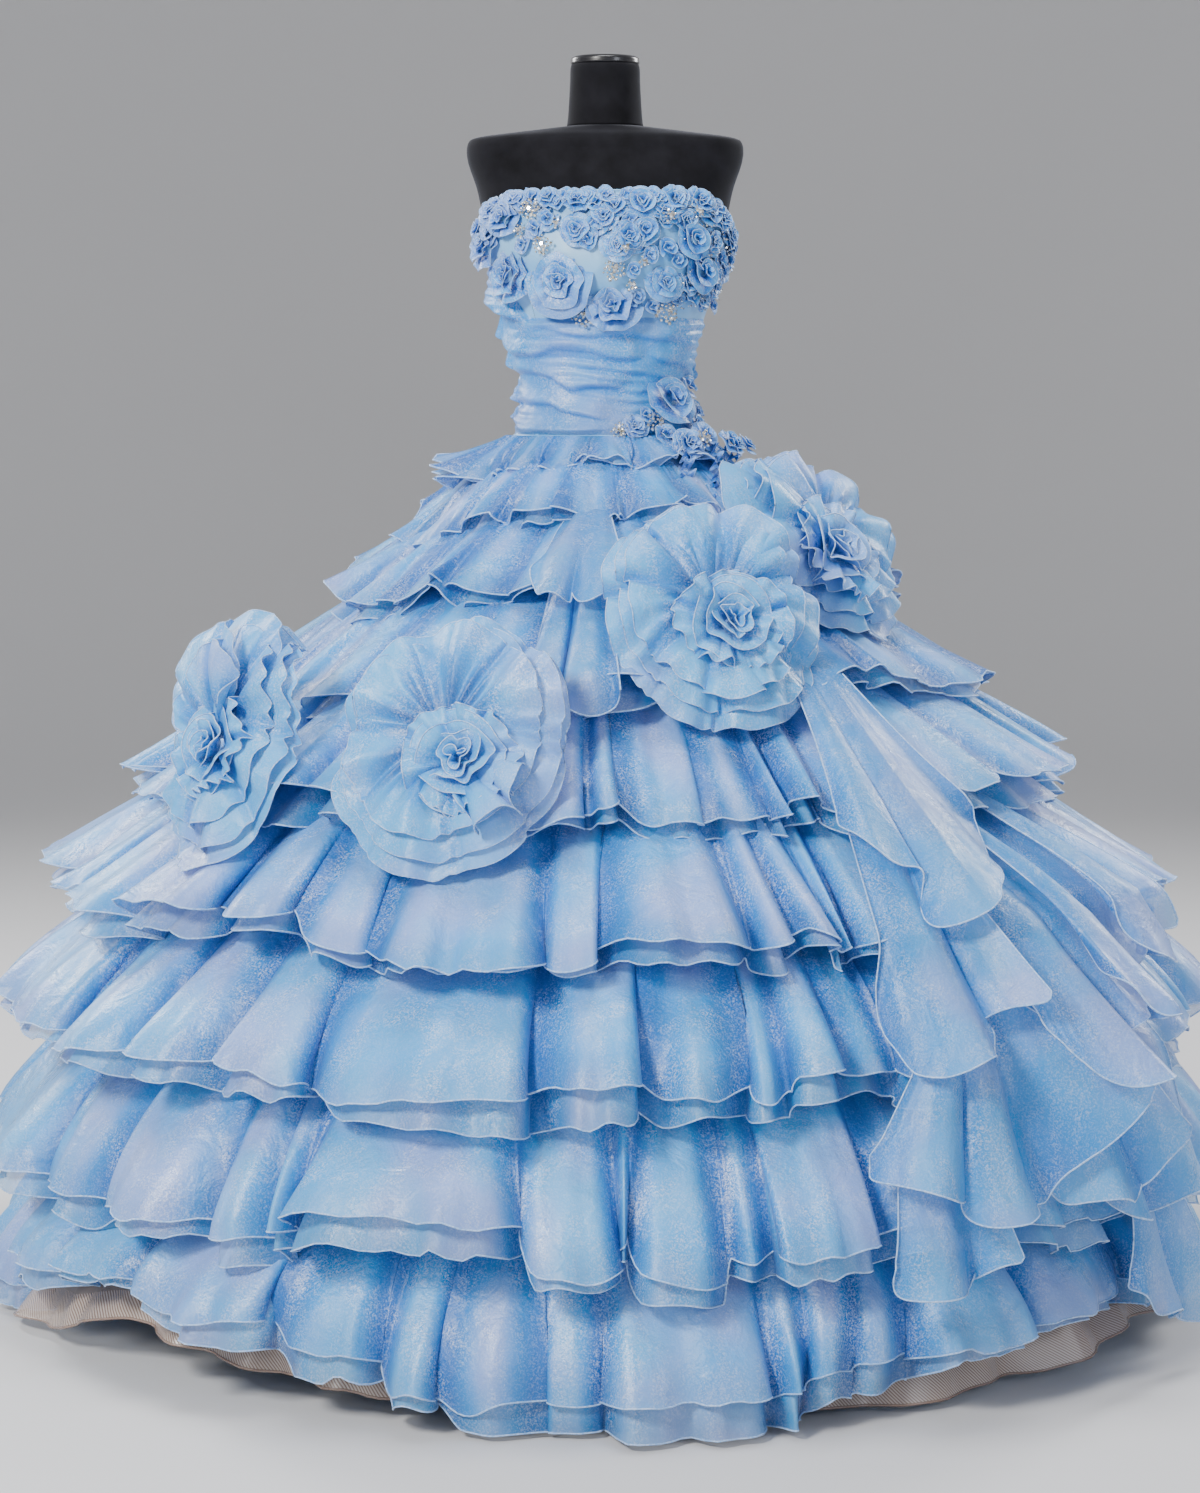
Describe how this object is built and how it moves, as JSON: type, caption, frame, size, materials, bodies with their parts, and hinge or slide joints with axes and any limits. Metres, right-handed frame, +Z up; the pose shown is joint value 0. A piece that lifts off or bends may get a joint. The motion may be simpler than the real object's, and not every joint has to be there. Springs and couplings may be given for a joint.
{
  "type": "ball gown on a dress form",
  "caption": "Strapless full-skirted ball gown with tiered organza flounces and large cloth rosettes, worn by a limbless dress form on a round base.",
  "frame": {"origin": "middle of the round base's underside, on the floor and on the pole's axis", "axes": "+Z up, -Y to the gown's front, +X to the wearer's left"},
  "size_m": [1.6317, 1.6313, 1.613],
  "materials": {
    "organza": "sky-blue organza, soft sheen",
    "under_organza": "paler sheer organza",
    "satin": "sky-blue satin",
    "rose_cloth": "deeper blue organza",
    "tulle": "nude tulle and horsehair braid",
    "velvet": "black velvet",
    "black_enamel": "black stove enamel",
    "nickel": "nickel plate"
  },
  "bodies": {
    "root": {"bodice_back_left": "satin", "bodice_back_right": "satin", "bodice_front": "satin", "bodice_side_front_left": "satin", "bodice_side_front_right": "satin", "cascade_1": "organza", "cascade_2": "organza", "cascade_3": "organza", "cascade_4": "organza", "corsage_rose_1": "rose_cloth", "corsage_rose_2": "rose_cloth", "form_base": "black_enamel", "form_neck": "velvet", "form_neck_cap": "black_enamel", "form_pole": "black_enamel", "form_torso": "velvet", "foundation_skirt": "satin", "front_jabot": "organza", "peplum_1": "organza", "peplum_2": "organza", "peplum_3": "organza", "peplum_4": "organza", "petticoat": "tulle", "petticoat_braid": "tulle", "rose_01": "rose_cloth", "rose_02": "rose_cloth", "rose_03": "rose_cloth", "rose_04": "rose_cloth", "rose_05": "rose_cloth", "rose_06": "rose_cloth", "rose_07": "rose_cloth", "rose_08": "rose_cloth", "rosette_1_heart": "rose_cloth", "rosette_1_ruffle": "organza", "rosette_2_heart": "rose_cloth", "rosette_2_ruffle": "organza", "rosette_3_heart": "rose_cloth", "rosette_3_ruffle": "organza", "rosette_4_heart": "rose_cloth", "rosette_4_ruffle": "organza", "sash_back_left": "organza", "sash_back_right": "organza", "sash_front": "organza", "tier_1_under": "under_organza", "tier_1_upper": "organza", "tier_2_under": "under_organza", "tier_2_upper": "organza", "tier_3_under": "under_organza", "tier_3_upper": "organza", "tier_4_under": "under_organza", "tier_4_upper": "organza", "tier_5_under": "under_organza", "tier_5_upper": "organza", "zip_arch": "nickel", "zip_slider": "nickel", "zip_tape": "satin"},
    "zip_pull": {"zip_pull": "nickel"}
  },
  "joints": [
    {"name": "zip_pull_hinge", "type": "hinge", "parent": "root", "child": "zip_pull", "pos_m": [0, 0.1137, 1.352], "axis": [1, 0, 0], "range_deg": [0, 150]}
  ]
}
